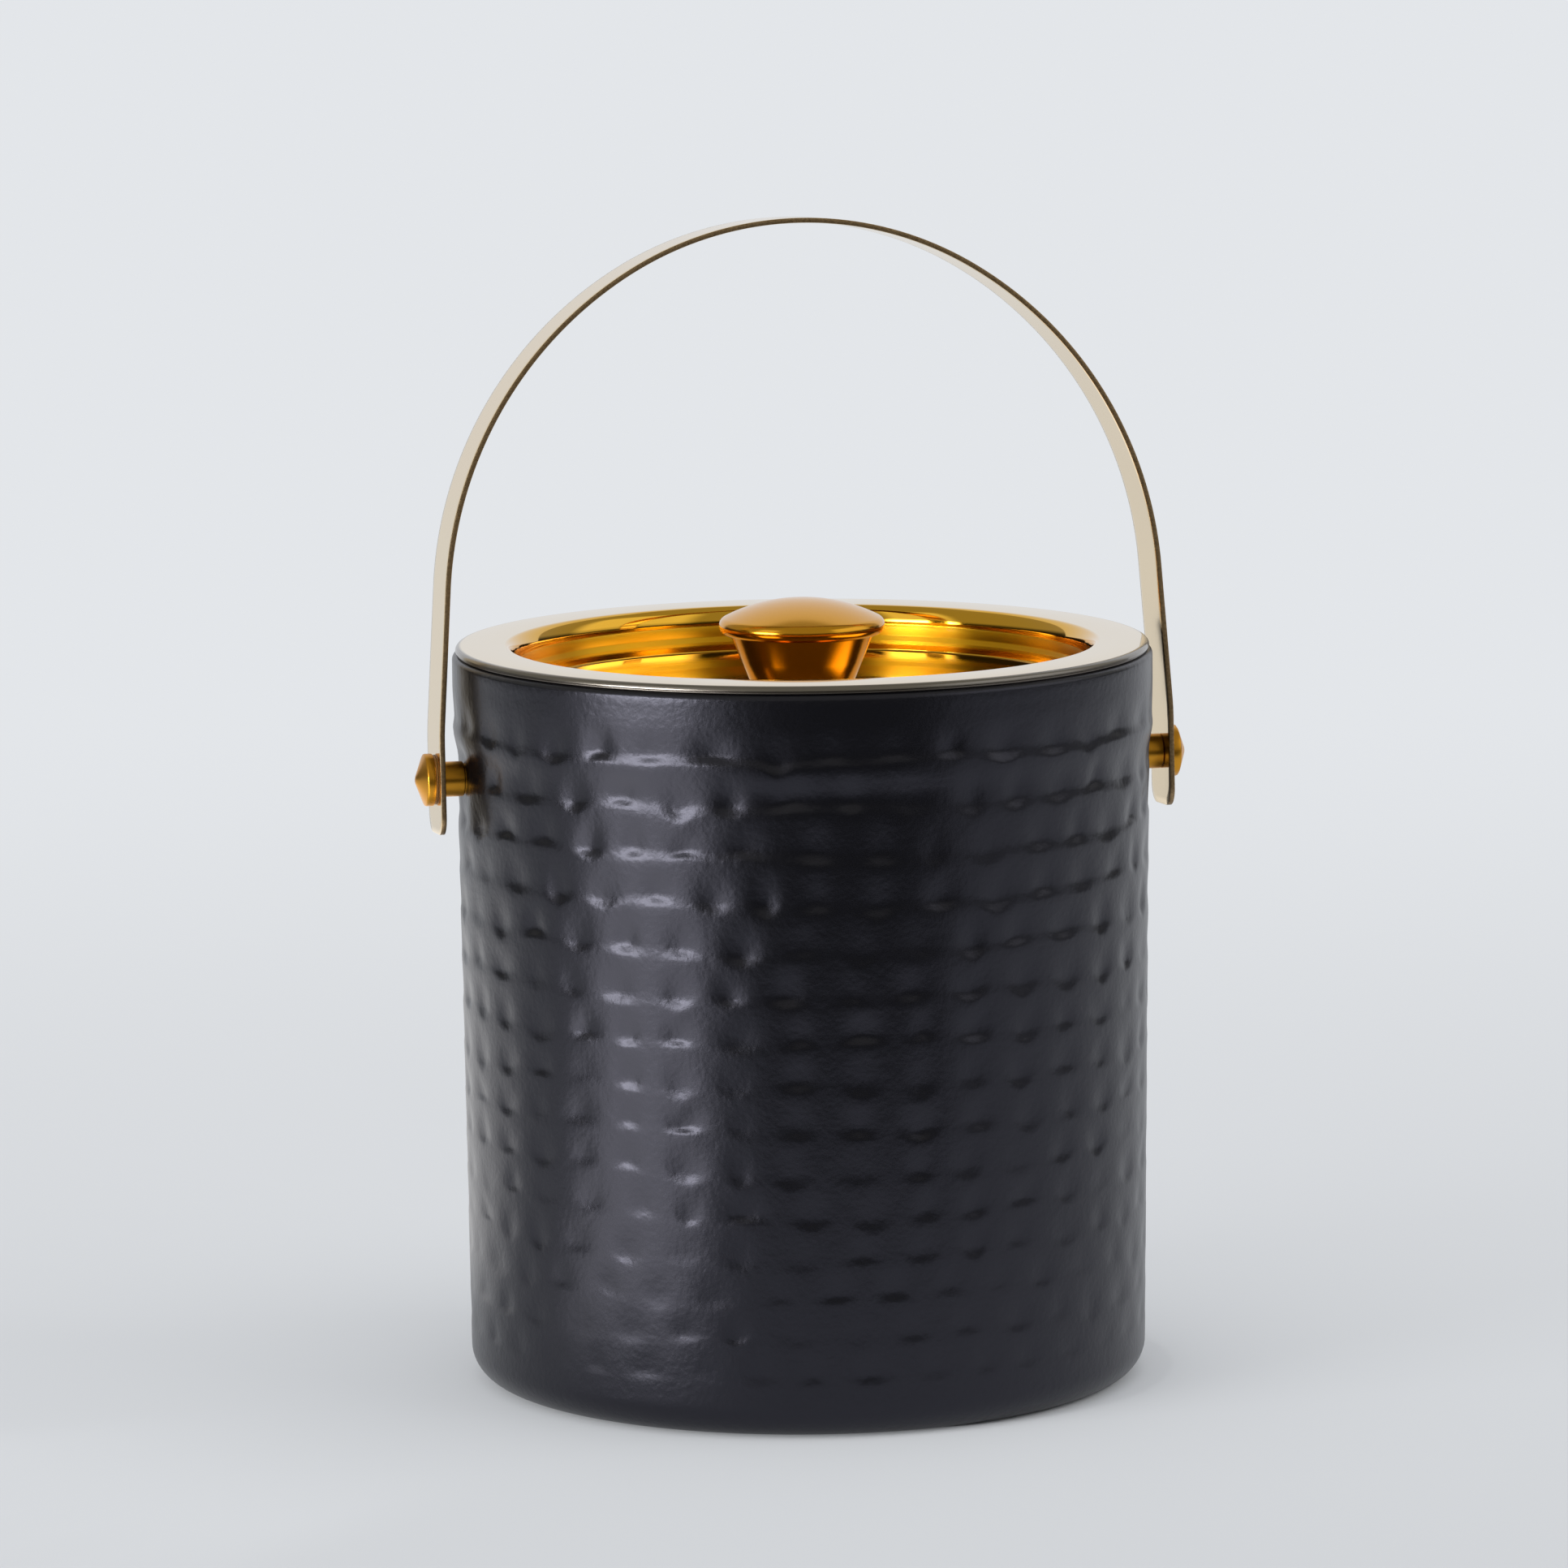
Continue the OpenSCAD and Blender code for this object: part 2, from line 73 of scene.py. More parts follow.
def ring_faces(rings, first_pole=False, last_pole=False, closed=False):
    """Points and faces of a grid of rings. Each ring meets the next, and the last meets the first
    if closed. A pole is one point, the mean of its end ring, that closes that end."""
    count, segments, _ = rings.shape
    index = np.arange(count * segments).reshape(count, segments)
    lower = index if closed else index[:-1]
    upper = np.roll(index, -1, 0) if closed else index[1:]
    quads = np.stack([lower, np.roll(lower, -1, 1), np.roll(upper, -1, 1), upper], -1)
    points, faces = rings.reshape(-1, 3), quads.reshape(-1, 4).tolist()
    for wanted, ring, order in ((first_pole, 0, (2, 1, 0)), (last_pole, -1, (0, 1, 2))):
        if wanted:
            here = index[ring]
            fan = np.stack([here, np.roll(here, -1), np.full(segments, len(points))], -1)
            faces += fan[:, order].tolist()
            points = np.vstack([points, rings[ring].mean(0)])
    return points, faces


def add_piece(name, points, faces, materials, body, slot, stands_for, sharp=35):
    """Makes a piece from points in millimetres, smooth except across edges over sharp degrees,
    hangs it on the empty of the body it rides on, and hides the CAD node it stands for. The slot
    is not used."""
    mesh = bpy.data.meshes.new(name)
    mesh.from_pydata((np.asarray(points) / 1000).tolist(), [], faces)
    mesh.shade_smooth()
    mesh.set_sharp_from_angle(angle=np.radians(sharp))
    for material in materials:
        mesh.materials.append(material)
    piece = bpy.data.objects.new(name, mesh)
    bpy.context.scene.collection.objects.link(piece)
    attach(piece, body)
    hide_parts(stands_for)
    return piece


def linear(hex_colour):
    """An sRGB hex colour as linear red, green, blue and an alpha of 1."""
    shown = np.array([int(hex_colour[i : i + 2], 16) for i in (1, 3, 5)]) / 255
    light = np.where(shown <= 0.04045, shown / 12.92, ((shown + 0.055) / 1.055) ** 2.4)
    return (*light.tolist(), 1.0)


def add_node(tree, kind, inputs=None, **settings):
    """Adds a node with its settings, and sets each input or links it to the socket given."""
    made = tree.nodes.new(kind)
    for key, value in settings.items():
        setattr(made, key, value)
    for key, value in (inputs or {}).items():
        if isinstance(value, bpy.types.NodeSocket):
            tree.links.new(value, made.inputs[key])
        else:
            made.inputs[key].default_value = value
    return made


def new_material(name, **sockets):
    """A material whose Principled shader has its sockets set, with its tree and its shader."""
    material = bpy.data.materials.new(name)
    material.use_nodes = True
    tree = material.node_tree
    shader = tree.nodes["Principled BSDF"]
    for key, value in sockets.items():
        shader.inputs[key.replace("_", " ")].default_value = value
    return material, tree, shader


def ease(x, low, high):
    """0 below low, 1 above high, and 3t^2 - 2t^3 between."""
    t = np.clip((x - low) / (high - low), 0, 1)
    return t * t * (3 - 2 * t)


shell_high = box_mm("outer_shell")[1]
pivot_z = 1000 * next(j for j in frame["joints"] if j["type"] == "hinge")["pos_m"][2]
band_r, shell_top = shell_high[1], shell_high[2]
sheet_t = 0.9
corner_r, shoulder_r, lip_r = 7.0, 1.2, band_r - 6.0
wall_foot_r, wall_top_r = band_r - 2.1, band_r - 0.7
band_z = shell_top - 15.6
band_ease, fade_h = 6.0, 9.0
row_count, top_row_h, low_row_h = 14, 10.3, 8.3
row_shrink = (top_row_h - low_row_h) / (row_count - 1)
marks_round, shell_segments = 37, 464
top_depth, low_depth = 0.7, 0.22
top_keel, low_keel = 0.3, 0.02
seat_x, seat_flat_r, seat_ease_r = 73.84, 4.4, 8.0
steps_in_row = np.array([0, 0.14, 0.3, 0.44, 0.56, 0.66, 0.74, 0.81, 0.88, 0.94])
chance = np.random.default_rng(11)


def ridge_z(row):
    """Height of the ridge over a row, counted from 0 at the top; rows shrink evenly downwards."""
    return band_z - row * top_row_h + row * (row - 1) / 2 * row_shrink


def wall_r(z):
    """Radius over the ridges: a straight taper, then an ease out to the smooth band."""
    taper = (z - corner_r) / (band_z - band_ease - corner_r)
    straight = wall_foot_r + (wall_top_r - wall_foot_r) * np.clip(taper, 0, 1)
    return straight + (band_r - wall_top_r) * ease(z, band_z - band_ease, band_z)


def row_of_marks(angle, keel):
    """Across one row: v runs from -1 to 1 over each mark, on spacings that vary by a sixth. Gives
    the share of full depth, keel + (1 - keel) cos(v pi/2)^3 times the mark's own depth, and how
    far the mark's foot hangs below the row, in mm, blended from mark to mark in the same way."""
    jitter = chance.uniform(-0.17, 0.17, marks_round)
    whole = np.arange(-1, marks_round + 2)
    turned = (angle / (2 * np.pi) + chance.uniform(0, 1)) % 1 * marks_round
    place = np.interp(turned, whole + jitter[whole % marks_round], whole)
    v = 2 * (place % 1) - 1
    mark = np.floor(place).astype(int) % marks_round
    own = chance.choice([0.45, 0.8, 1.0, 1.25], marks_round, p=[0.15, 0.3, 0.35, 0.2])[mark]
    hang = chance.uniform(-1.3, 1.3, marks_round)[mark]
    bump = np.cos(v * np.pi / 2) ** 3
    keel = keel * (1 + 0.5 * np.sin(5 * angle + 9 * jitter[0]))
    return keel + (1 - keel) * own * bump, bump * (0.5 + hang)


# Each mark deepens slowly downwards and ends in a short rounded step, because the hammer's face
# met the wall tilted: its share of depth is s(u, 0, 0.74) (1 - s(u, 0.7, 1)) for u from its top
# to its foot, where s is the ease. Blows got lighter and further apart lower down.
turn_angle = np.linspace(0, 2 * np.pi, shell_segments, endpoint=False)
wall_heights, wall_depths = [], []
upper_hang = np.zeros(shell_segments)
for row in range(row_count + 1):
    low = ridge_z(row)
    high = ridge_z(row - 1) if row else low + fade_h
    down = row / row_count
    share, hang = row_of_marks(turn_angle, top_keel + (low_keel - top_keel) * ease(down, 0, 0.6))
    wave = 0.5 * np.sin(3 * turn_angle + row) + 0.4 * np.sin(8 * turn_angle + 2.3 * row)
    lower_hang = (hang - wave) * (row < row_count)
    u = steps_in_row[:, None]
    wall_heights.append(high - (high - low) * u - upper_hang * (1 - u) - lower_hang * u)
    depth = top_depth + (low_depth - top_depth) * down
    wall_depths.append(depth * ease(u, 0, 0.74) * (1 - ease(u, 0.7, 1)) * share)
    upper_hang = lower_hang
wall_z = np.vstack(wall_heights)[::-1]
dents = np.vstack(wall_depths)[::-1]
wall_radius = wall_r(wall_z) - dents
wall = np.stack([wall_radius * np.cos(turn_angle), wall_radius * np.sin(turn_angle), wall_z], -1)

# The base is pressed up inside a flat foot ring. The inside of the cup is plain: the lip's
# underside, a smooth wall and a floor, about a sheet's thickness from the outer ones. Rings given
# as plain numbers only keep long faces short.
foot_r = wall_foot_r - corner_r
recess_r, recess_h = foot_r - 7.9, 2.0
recess_top_r = recess_r - recess_h
low_z = np.linspace(corner_r, ridge_z(row_count), 5)[1:]
below = np.vstack(
    [
        [[25, recess_h], [50, recess_h], [recess_top_r - 0.6, recess_h]],
        [[recess_top_r, recess_h - 0.15], [recess_r - 0.3, 0.15], [recess_r + 0.3, 0]],
        [[60.5, 0], [63.5, 0]],
        arc(foot_r, corner_r, corner_r, -90, 0, 14),
        np.stack([wall_r(low_z), low_z], 1),
    ]
)
inside_r, inside_gap = band_r - sheet_t, sheet_t + 0.3
smooth_z = np.linspace(band_z + fade_h, shell_top - shoulder_r, 5)[1:4]
inner_z = np.array([band_z, band_z - 8, 90.0, 40.0, corner_r])
above = np.vstack(
    [
        np.stack([band_r + 0 * smooth_z, smooth_z], 1),
        arc(band_r - shoulder_r, shell_top - shoulder_r, shoulder_r, 0, 90, 6),
        [[lip_r + 0.2, shell_top], [lip_r, shell_top - 0.2], [lip_r, shell_top - sheet_t]],
        [[inside_r - 1.0, shell_top - sheet_t], [inside_r, shell_top - 2 * sheet_t]],
        np.stack([wall_r(inner_z) - inside_gap, inner_z], 1),
        arc(foot_r, corner_r, corner_r - sheet_t, 0, -90, 4),
        [[recess_r - 1, sheet_t], [recess_r - 3, recess_h + sheet_t]],
    ]
)
shell_rings = np.vstack([turn(below, shell_segments), wall, turn(above, shell_segments)])

# Round each post the wall is pressed flat, and eases back to its curve.
from_pivot = np.hypot(shell_rings[..., 1], shell_rings[..., 2] - pivot_z)
pressed = 1 - ease(from_pivot, seat_flat_r, seat_ease_r)
pressed[len(below) + len(wall) :] = 0
flat_x = np.sign(shell_rings[..., 0]) * seat_x
shell_rings[..., 0] += pressed * (flat_x - shell_rings[..., 0])

# Sprayed satin lacquer, pigmented black: a clear layer over nothing but dark, so all that is
# seen is soft reflection. Orange peel has a grain of 1.3 mm, and runs ripple over 4 mm.
lacquer, tree, shader = new_material(
    "satin_black_lacquer", Base_Color=linear("#0A0A0D"), Roughness=0.3, IOR=1.5,
    Specular_Tint=linear("#EAE9FF"),
)
place = add_node(tree, "ShaderNodeTexCoord").outputs["Object"]
ripple = add_node(tree, "ShaderNodeTexNoise", {"Vector": place, "Scale": 1 / 0.004, "Detail": 1.0})
ripple_bump = add_node(
    tree, "ShaderNodeBump", {"Height": ripple.outputs["Fac"], "Strength": 1.0, "Distance": 0.00005}
)
peel = add_node(tree, "ShaderNodeTexNoise", {"Vector": place, "Scale": 1 / 0.0013, "Detail": 2.0})
peel_bump = add_node(
    tree, "ShaderNodeBump", {"Height": peel.outputs["Fac"], "Strength": 1.0, "Distance": 0.00006}
)
tree.links.new(ripple_bump.outputs["Normal"], peel_bump.inputs["Normal"])
tree.links.new(peel_bump.outputs["Normal"], shader.inputs["Normal"])
add_piece(
    "hammered_shell", *ring_faces(shell_rings, True, True), [lacquer],
    "bucket", "black_lacquer", "outer_shell", sharp=60,
)

# ---- Liner ----
# A deep-drawn stainless cup, gold plated, that hangs by its rim flange on the shell's lip.
# Only the edge of the flange shows until the lid is lifted.
liner_low, liner_high = box_mm("inner_liner")
liner_r, liner_t = band_r - 11.8, 0.7
liner_flange_r, rim_z, liner_floor = liner_high[1], liner_high[2], liner_low[2] + liner_t
mouth_r, liner_fillet = 3.0, 14.0
mouth_c = liner_r + mouth_r, rim_z - mouth_r
fillet_c = liner_r - liner_fillet, liner_floor + liner_fillet
edge = liner_t / 2
liner_profile = np.vstack(
    [
        [[20, liner_low[2]]],
        arc(*fillet_c, liner_fillet + liner_t, -90, 0, 16),
        arc(*mouth_c, mouth_r - liner_t, 180, 90, 8),
        arc(liner_flange_r - edge, rim_z - edge, edge, -90, 90, 6),
        arc(*mouth_c, mouth_r, 90, 180, 10),
        arc(*fillet_c, liner_fillet, 0, -90, 20),
        [[20, liner_floor]],
    ]
)


def radius_and_height(tree):
    """Sockets for the distance from the Z axis and for the height, both in metres."""
    place = add_node(tree, "ShaderNodeTexCoord").outputs["Object"]
    parts = add_node(tree, "ShaderNodeSeparateXYZ", {"Vector": place})
    level = add_node(
        tree, "ShaderNodeCombineXYZ", {"X": parts.outputs["X"], "Y": parts.outputs["Y"]}
    ).outputs["Vector"]
    radius = add_node(tree, "ShaderNodeVectorMath", {0: level}, operation="LENGTH")
    return place, radius.outputs["Value"], parts.outputs["Z"]


def turned_lines(tree, radius, height, pitch, distance):
    """Normal of the fine lines that a polishing mop leaves round a turned piece: noise that varies
    only with radius and height, one wave per pitch, as a bump of the distance given."""
    along = add_node(tree, "ShaderNodeCombineXYZ", {"X": radius, "Y": height}).outputs["Vector"]
    lines = add_node(
        tree, "ShaderNodeTexNoise", {"Vector": along, "Scale": 1 / pitch, "Detail": 3.0}
    )
    return add_node(
        tree, "ShaderNodeBump",
        {"Height": lines.outputs["Fac"], "Strength": 1.0, "Distance": distance},
    ).outputs["Normal"]


# Titanium-gold plating over brushed steel: satin, with lines 0.25 mm apart round the wall. It
# is worn to grey steel along the last half millimetre of the flange.
satin_plate, tree, shader = new_material("satin_gold_plate", Metallic=1.0, Roughness=0.34)
_, radius, height = radius_and_height(tree)
tree.links.new(turned_lines(tree, radius, height, 0.00025, 0.000004), shader.inputs["Normal"])
worn_from, worn_to = (liner_flange_r - 1.0) / 1000, (liner_flange_r - 0.5) / 1000
worn = add_node(
    tree, "ShaderNodeMapRange", {"Value": radius, "From Min": worn_from, "From Max": worn_to}
)
colour = add_node(
    tree, "ShaderNodeMix",
    {0: worn.outputs["Result"], 6: linear("#CDA566"), 7: linear("#6E6862")}, data_type="RGBA",
)
tree.links.new(colour.outputs[2], shader.inputs["Base Color"])
add_piece(
    "gold_liner", *ring_faces(turn(liner_profile, 256), True, True), [satin_plate],
    "bucket", "gold", "inner_liner",
)

# ---- Insulation and wall fasteners ----
# A disc of white foam takes the ice's weight between the two floors. Zinc-plated screws, split
# washers and wide washers hold the posts from inside the wall gap, out of sight.

# Closed-cell polyethylene foam: matt white, with cells 1.2 mm across.
foam, tree, shader = new_material(
    "polyethylene_foam", Base_Color=linear("#ECEBE4"), Roughness=0.85
)
place = add_node(tree, "ShaderNodeTexCoord").outputs["Object"]
cells = add_node(tree, "ShaderNodeTexVoronoi", {"Vector": place, "Scale": 1 / 0.0012})
cell_bump = add_node(
    tree, "ShaderNodeBump",
    {"Height": cells.outputs["Distance"], "Strength": 0.5, "Distance": 0.0001},
)
tree.links.new(cell_bump.outputs["Normal"], shader.inputs["Normal"])

# Bright zinc plating keeps a faint mottle, about 1.5 mm across.
zinc, tree, shader = new_material("zinc_plated_steel", Base_Color=linear("#C9CCCF"), Metallic=1.0)
place = add_node(tree, "ShaderNodeTexCoord").outputs["Object"]
mottle = add_node(tree, "ShaderNodeTexNoise", {"Vector": place, "Scale": 1 / 0.0015, "Detail": 2.0})
rough = add_node(
    tree, "ShaderNodeMapRange", {"Value": mottle.outputs["Fac"], "To Min": 0.24, "To Max": 0.42}
)
tree.links.new(rough.outputs["Result"], shader.inputs["Roughness"])


def dress(material, *node_names):
    """Gives CAD nodes that stay in view a material of their own."""
    for node_name in node_names:
        mesh = frame["nodes"][node_name].data
        mesh.materials.clear()
        mesh.materials.append(material)


dress(foam, "insulation_pad")
wall_fasteners = ("wall_screw", "wall_washer", "lock_washer")
dress(zinc, *(f"{side}_{part}" for side in ("left", "right") for part in wall_fasteners))

# ---- Lid ----
# One pressing of stainless steel: a wide flat flange with a rolled edge, a rounded mouth, and a
# dish that drops into the liner. It is gold plated; the flange and floor are mirror polished.
lid_low, lid_high = box_mm("lid_dish")
lid_t, lid_top, lid_r = 0.8, lid_high[2], lid_high[1]
floor_z = lid_low[2] + lid_t
edge_r, dish_fillet = 1.1, 0.4
dish_r = liner_r - 0.9 - lid_t
mouth_w, mouth_h = 2.2, 4.0
ridge_level, ridge_step, ridge_round = lid_top - 7.3, 0.35, 0.9
screw_hole_r = 2.1
low_r = dish_r - ridge_step
edge_c = lid_r - edge_r, lid_top - edge_r
low_c = low_r - dish_fillet, floor_z + dish_fillet


def mouth(inset, steps):
    """Quarter ellipse from the flange down to the wall, set back into the sheet by the inset."""
    a = np.radians(np.linspace(90, 180, steps + 1))
    r = dish_r + mouth_w + (mouth_w - inset) * np.cos(a)
    z = lid_top - mouth_h + (mouth_h - inset) * np.sin(a)
    return np.stack([r, z], 1)


lid_profile = np.vstack(
    [
        [[screw_hole_r, floor_z - lid_t], [30, floor_z - lid_t]],
        arc(*low_c, dish_fillet + lid_t, -90, 0, 5),
        [[low_r + lid_t, ridge_level - ridge_step], [dish_r + lid_t, ridge_level]],
        mouth(lid_t, 14)[::-1],
        arc(*edge_c, edge_r - lid_t, 90, 0, 4),
        [[lid_r - 0.1, lid_top - edge_r]],
        arc(*edge_c, edge_r, 0, 90, 10),
        mouth(0, 30),
        [[dish_r - 0.04, lid_top - mouth_h - 0.3], [dish_r - 0.12, lid_top - mouth_h - 0.5]],
        arc(dish_r - ridge_round, ridge_level + ridge_step + 0.6, ridge_round, 10, -30, 5),
        arc(low_r + ridge_round, ridge_level - 0.5, ridge_round, 150, 180, 4),
        arc(*low_c, dish_fillet, 0, -90, 8),
        [[50, floor_z], [30, floor_z], [screw_hole_r, floor_z]],
    ]
)

# Mirror-polished gold plate under clear lacquer, worn to grey along the rolled edge. Its two
# golds are painted light: the flange gets a paler gold, a painted sheen for how it shines at a
# low angle, and the dish a deeper gold, a painted glow of the light mirrored round inside it.
# The wall of the dish was left satin from the spinning lathe, with lines round it 0.8 mm apart
# that draw each shine out upwards; faint bloom 12 mm across comes from wiping.
gold_plate, tree, shader = new_material(
    "polished_gold_plate", Metallic=1.0, Coat_Roughness=0.05, Anisotropic_Rotation=0.25
)
place, radius, height = radius_and_height(tree)
wall_low = add_node(
    tree, "ShaderNodeMapRange",
    {"Value": height, "From Min": (floor_z + 1.2) / 1000, "From Max": (floor_z + 1.9) / 1000},
)
wall_high = add_node(
    tree, "ShaderNodeMapRange",
    {"Value": height, "From Min": (lid_top - 3.6) / 1000, "From Max": (lid_top - 4.4) / 1000},
)
on_wall = add_node(
    tree, "ShaderNodeMath", {0: wall_low.outputs["Result"], 1: wall_high.outputs["Result"]},
    operation="MULTIPLY",
)
drawn_out = add_node(tree, "ShaderNodeMapRange", {"Value": on_wall.outputs[0], "To Max": 0.8})
tree.links.new(drawn_out.outputs["Result"], shader.inputs["Anisotropic"])
around = add_node(tree, "ShaderNodeTangent", direction_type="RADIAL", axis="Z")
tree.links.new(around.outputs["Tangent"], shader.inputs["Tangent"])
clear_coat = add_node(
    tree, "ShaderNodeMapRange", {"Value": on_wall.outputs[0], "To Min": 0.6, "To Max": 0.05}
)
tree.links.new(clear_coat.outputs["Result"], shader.inputs["Coat Weight"])
up_wall = add_node(tree, "ShaderNodeCombineXYZ", {"Y": height})
wall_lines = add_node(
    tree, "ShaderNodeTexNoise", {"Vector": up_wall.outputs["Vector"], "Scale": 1 / 0.0008}
)
wall_rough = add_node(
    tree, "ShaderNodeMapRange", {"Value": wall_lines.outputs["Fac"], "To Min": 0.32, "To Max": 0.4}
)
bloom = add_node(tree, "ShaderNodeTexNoise", {"Vector": place, "Scale": 1 / 0.012, "Detail": 3.0})
mirror_rough = add_node(
    tree, "ShaderNodeMapRange", {"Value": bloom.outputs["Fac"], "To Min": 0.03, "To Max": 0.1}
)
rough = add_node(
    tree, "ShaderNodeMix",
    {0: on_wall.outputs[0], 2: mirror_rough.outputs["Result"], 3: wall_rough.outputs["Result"]},
    data_type="FLOAT",
)
# Painted light: the flange's paler gold is a painted sheen and the dish's deeper gold a painted
# glow of light mirrored round inside it.
flange = add_node(
    tree, "ShaderNodeMapRange",
    {"Value": radius, "From Min": (dish_r + 1.5) / 1000, "From Max": (dish_r + 2.3) / 1000},
)
colour = add_node(
    tree, "ShaderNodeMix",
    {0: flange.outputs["Result"], 6: linear("#E6AE22"), 7: linear("#E6CB96")}, data_type="RGBA",
)
rim_edge = add_node(
    tree, "ShaderNodeMapRange",
    {"Value": radius, "From Min": (lid_r - 1.3) / 1000, "From Max": (lid_r - 0.7) / 1000},
)
colour = add_node(
    tree, "ShaderNodeMix",
    {0: rim_edge.outputs["Result"], 6: colour.outputs[2], 7: linear("#7D776F")}, data_type="RGBA",
)
tree.links.new(colour.outputs[2], shader.inputs["Base Color"])
rough = add_node(
    tree, "ShaderNodeMix", {0: rim_edge.outputs["Result"], 2: rough.outputs[0], 3: 0.3},
    data_type="FLOAT",
)
tree.links.new(rough.outputs[0], shader.inputs["Roughness"])
add_piece(
    "dished_lid", *ring_faces(turn(lid_profile, 360), closed=True), [gold_plate],
    "lid", "gold", "lid_dish",
)

# ---- Knob ----
# Two turned brass pieces, gold plated: a cone that stands on the lid, and a domed cap whose
# spigot sits in the cone. One screw from below pulls both down on the lid, over a soft washer.
cone_low, cone_high = box_mm("knob_body")
cap_low, cap_high = box_mm("knob_cap")
neck_r, knob_foot_r = 15.4, 10.7
seam_z, cap_top, cap_r = cone_high[2], cap_high[2] - 0.1, cap_high[1]
spigot_r, socket_r, spigot_z = 5.95, 6.05, cap_low[2]
tap_r, tap_top = 1.95, cap_low[2] + 5.5
cone_foot = cone_low[2]
cone_profile = np.vstack(
    [
        [[screw_hole_r, cone_foot], [knob_foot_r - 0.2, cone_foot]],
        [[knob_foot_r + 0.05, cone_foot + 0.25]],
        [[(knob_foot_r + neck_r) / 2, (cone_foot + seam_z) / 2], [neck_r - 0.15, seam_z - 0.4]],
        [[neck_r, seam_z - 0.12], [neck_r - 0.12, seam_z], [socket_r, seam_z]],
        [[socket_r, spigot_z], [screw_hole_r, spigot_z]],
    ]
)
cap_edge, edge_z = 2.0, seam_z + 1.8
dome_h = cap_top - edge_z
dome_r = ((cap_r - cap_edge) ** 2 + dome_h**2 - cap_edge**2) / (2 * (dome_h - cap_edge))
dome_z = cap_top - dome_r
tilt = np.degrees(np.arcsin((cap_r - cap_edge) / (dome_r - cap_edge)))
cap_profile = np.vstack(
    [
        [[tap_r, tap_top], [tap_r, spigot_z], [spigot_r, spigot_z], [spigot_r, seam_z]],
        [[16.0, seam_z], [16.6, seam_z + 0.02]],
        arc(cap_r - cap_edge, edge_z, cap_edge, -42, 90 - tilt, 24),
        arc(0, dome_z, dome_r, 90 - tilt, 89.2, 40)[1:],
    ]
)

# Gold plate on brass straight from the lathe: a soft mirror with lines 0.2 mm apart, under a
# thin lacquer.
knob_plate, tree, shader = new_material(
    "turned_gold_plate", Base_Color=linear("#DF9E1C"), Metallic=1.0, Roughness=0.18,
    Coat_Weight=0.35, Coat_Roughness=0.14
)
_, radius, height = radius_and_height(tree)
tree.links.new(turned_lines(tree, radius, height, 0.0002, 0.0000012), shader.inputs["Normal"])
add_piece(
    "knob_cone", *ring_faces(turn(cone_profile, 192), closed=True), [knob_plate],
    "lid", "satin_gold", "knob_body",
)
add_piece(
    "knob_dome", *ring_faces(turn(cap_profile, 192), True, True), [knob_plate],
    "lid", "gold", "knob_cap",
)

# Silicone is milky and soft; its skin scatters light over about half a millimetre.
silicone, tree, shader = new_material(
    "silicone_rubber", Base_Color=linear("#DCDDD8"), Roughness=0.55, IOR=1.41
)
place = add_node(tree, "ShaderNodeTexCoord").outputs["Object"]
skin = add_node(tree, "ShaderNodeTexNoise", {"Vector": place, "Scale": 1 / 0.0006, "Detail": 2.0})
skin_bump = add_node(
    tree, "ShaderNodeBump", {"Height": skin.outputs["Fac"], "Strength": 0.4, "Distance": 0.00003}
)
tree.links.new(skin_bump.outputs["Normal"], shader.inputs["Normal"])
dress(silicone, "knob_seal")
dress(zinc, "knob_screw", "knob_washer")

# ---- Pivots ----
# Turned brass: a plain post stands on a flat pressed in the shell, and a shoulder screw with a
# low conical head goes through the strap into it. A nylon washer lies under the head.
post_low, post_high = box_mm("right_pivot_post")
screw_low, screw_high = box_mm("right_cap_screw")
washer_high = box_mm("right_friction_washer")[1]
post_r, post_in, post_out = post_high[1], post_low[0], post_high[0]
shank_r, shoulder_screw_r, head_r = 1.9, 2.25, screw_high[1]
head_x, head_tip, head_rim = washer_high[0], screw_high[0], 1.8
post_profile = np.array(
    [
        [tap_r, post_in], [post_r - 0.45, post_in], [post_r - 0.45, post_in + 0.25],
        [post_r - 0.12, post_in + 0.35], [post_r, post_in + 0.5], [post_r, post_out - 0.15],
        [post_r - 0.15, post_out], [tap_r, post_out],
    ]
)
head_profile = np.vstack(
    [
        [[shank_r, screw_low[0]], [shank_r, post_out], [shoulder_screw_r, post_out]],
        [[shoulder_screw_r, head_x], [head_r - 0.3, head_x], [head_r - 0.05, head_x + 0.12]],
        [[head_r, head_x + 0.35], [head_r, head_x + head_rim - 0.3]],
        [[head_r - 0.08, head_x + head_rim - 0.05], [head_r - 0.35, head_x + head_rim + 0.12]],
        [[1.3, head_tip - 0.32], [0.9, head_tip - 0.16], [0.45, head_tip - 0.04]],
    ]
)


def on_pivot(rings, side):
    """Turns rings about Z into rings about the pivot axis: right (z, y, -x), left (-z, y, x)."""
    x, y, z = rings[..., 0], rings[..., 1], rings[..., 2]
    return np.stack([side * z, y, pivot_z - side * x], -1)


# Lacquered brass, turned with a fine feed of 0.15 mm, so it shines along a soft line.
brass, tree, shader = new_material(
    "turned_brass", Base_Color=linear("#D2942E"), Metallic=1.0, Roughness=0.31
)
place = add_node(tree, "ShaderNodeTexCoord").outputs["Object"]
moved = add_node(
    tree, "ShaderNodeMapping", {"Vector": place, "Location": (0, 0, -pivot_z / 1000)}
).outputs["Vector"]
parts = add_node(tree, "ShaderNodeSeparateXYZ", {"Vector": moved})
level = add_node(tree, "ShaderNodeCombineXYZ", {"Y": parts.outputs["Y"], "Z": parts.outputs["Z"]})
radius = add_node(tree, "ShaderNodeVectorMath", {0: level.outputs["Vector"]}, operation="LENGTH")
feed = turned_lines(tree, radius.outputs["Value"], parts.outputs["X"], 0.00015, 0.0000015)
tree.links.new(feed, shader.inputs["Normal"])
